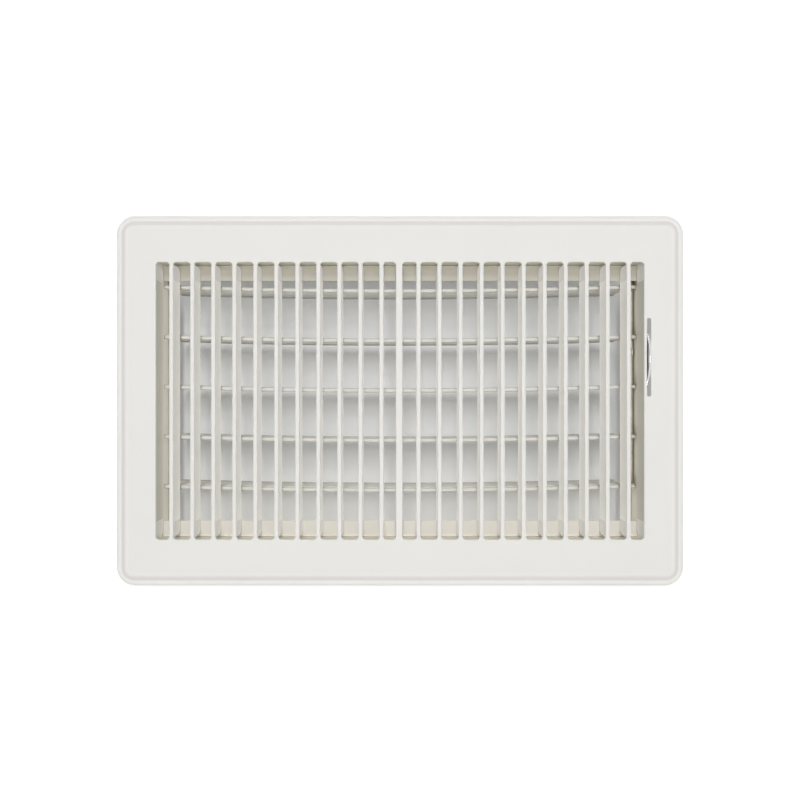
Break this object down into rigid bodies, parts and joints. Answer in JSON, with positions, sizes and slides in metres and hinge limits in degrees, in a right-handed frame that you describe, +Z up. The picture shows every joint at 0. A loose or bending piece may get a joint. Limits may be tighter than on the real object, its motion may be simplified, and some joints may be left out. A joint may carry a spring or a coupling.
{
  "type": "floor register",
  "caption": "Rectangular sheet-steel floor register with a stepped slotted face and a damper box whose linked blades open and close by a thumb wheel.",
  "frame": {"origin": "middle of the lower edges of the damper box", "axes": "+X along the face towards the thumb wheel, +Y across the face, +Z up out of the floor"},
  "size_m": [0.2922, 0.1906, 0.049],
  "materials": {
    "enamel": "semi-gloss baked enamel",
    "enamel_inner": "semi-gloss baked enamel",
    "zinc_steel": "dull zinc plate",
    "bright_plate": "bright plate"
  },
  "bodies": {
    "frame": {"face_plate": "enamel", "end_wall_left": "enamel_inner", "end_wall_right": "enamel_inner", "side_wall_back": "enamel_inner", "side_wall_front": "enamel_inner", "baffle_angle_back": "enamel_inner", "baffle_angle_front": "enamel_inner", "wheel_rivet": "zinc_steel", "friction_washer": "zinc_steel", "corner_rivets": "zinc_steel"},
    "thumb_wheel": {"thumb_wheel": "bright_plate"},
    "link": {"link_bar": "zinc_steel"},
    "blade_1": {"damper_blade_1": "enamel_inner", "crank_arm_1": "zinc_steel"},
    "blade_2": {"damper_blade_2": "enamel_inner", "crank_arm_2": "zinc_steel"},
    "blade_3": {"damper_blade_3": "enamel_inner", "crank_arm_3": "zinc_steel"},
    "blade_4": {"damper_blade_4": "enamel_inner", "crank_arm_4": "zinc_steel"},
    "blade_5": {"damper_blade_5": "enamel_inner", "crank_arm_5": "zinc_steel"}
  },
  "joints": [
    {"name": "wheel_turn", "type": "hinge", "parent": "frame", "child": "thumb_wheel", "pos_m": [0.1274, 0.0223, 0.0235], "axis": [-1, 0, 0], "range_deg": [0, 84]},
    {"name": "blade_1_turn", "type": "hinge", "parent": "frame", "child": "blade_1", "pos_m": [0, 0.0607, 0.0325], "axis": [-1, 0, 0], "range_deg": [0, 84]},
    {"name": "blade_2_turn", "type": "hinge", "parent": "frame", "child": "blade_2", "pos_m": [0, 0.03412, 0.0325], "axis": [-1, 0, 0], "range_deg": [0, 84]},
    {"name": "blade_3_turn", "type": "hinge", "parent": "frame", "child": "blade_3", "pos_m": [0, 0.00754, 0.0325], "axis": [-1, 0, 0], "range_deg": [0, 84]},
    {"name": "blade_4_turn", "type": "hinge", "parent": "frame", "child": "blade_4", "pos_m": [0, -0.01904, 0.0325], "axis": [-1, 0, 0], "range_deg": [0, 84]},
    {"name": "blade_5_turn", "type": "hinge", "parent": "frame", "child": "blade_5", "pos_m": [0, -0.04562, 0.0325], "axis": [-1, 0, 0], "range_deg": [0, 84]},
    {"name": "link_turn", "type": "hinge", "parent": "thumb_wheel", "child": "link", "pos_m": [0.1245, 0.02632, 0.01904], "axis": [-1, 0, 0], "range_deg": [-84, 0]}
  ],
  "couplings": [
    {"joint": "blade_1_turn", "follows": "wheel_turn", "ratio": 1},
    {"joint": "blade_2_turn", "follows": "wheel_turn", "ratio": 1},
    {"joint": "blade_3_turn", "follows": "wheel_turn", "ratio": 1},
    {"joint": "blade_4_turn", "follows": "wheel_turn", "ratio": 1},
    {"joint": "blade_5_turn", "follows": "wheel_turn", "ratio": 1},
    {"joint": "link_turn", "follows": "wheel_turn", "ratio": -1}
  ]
}
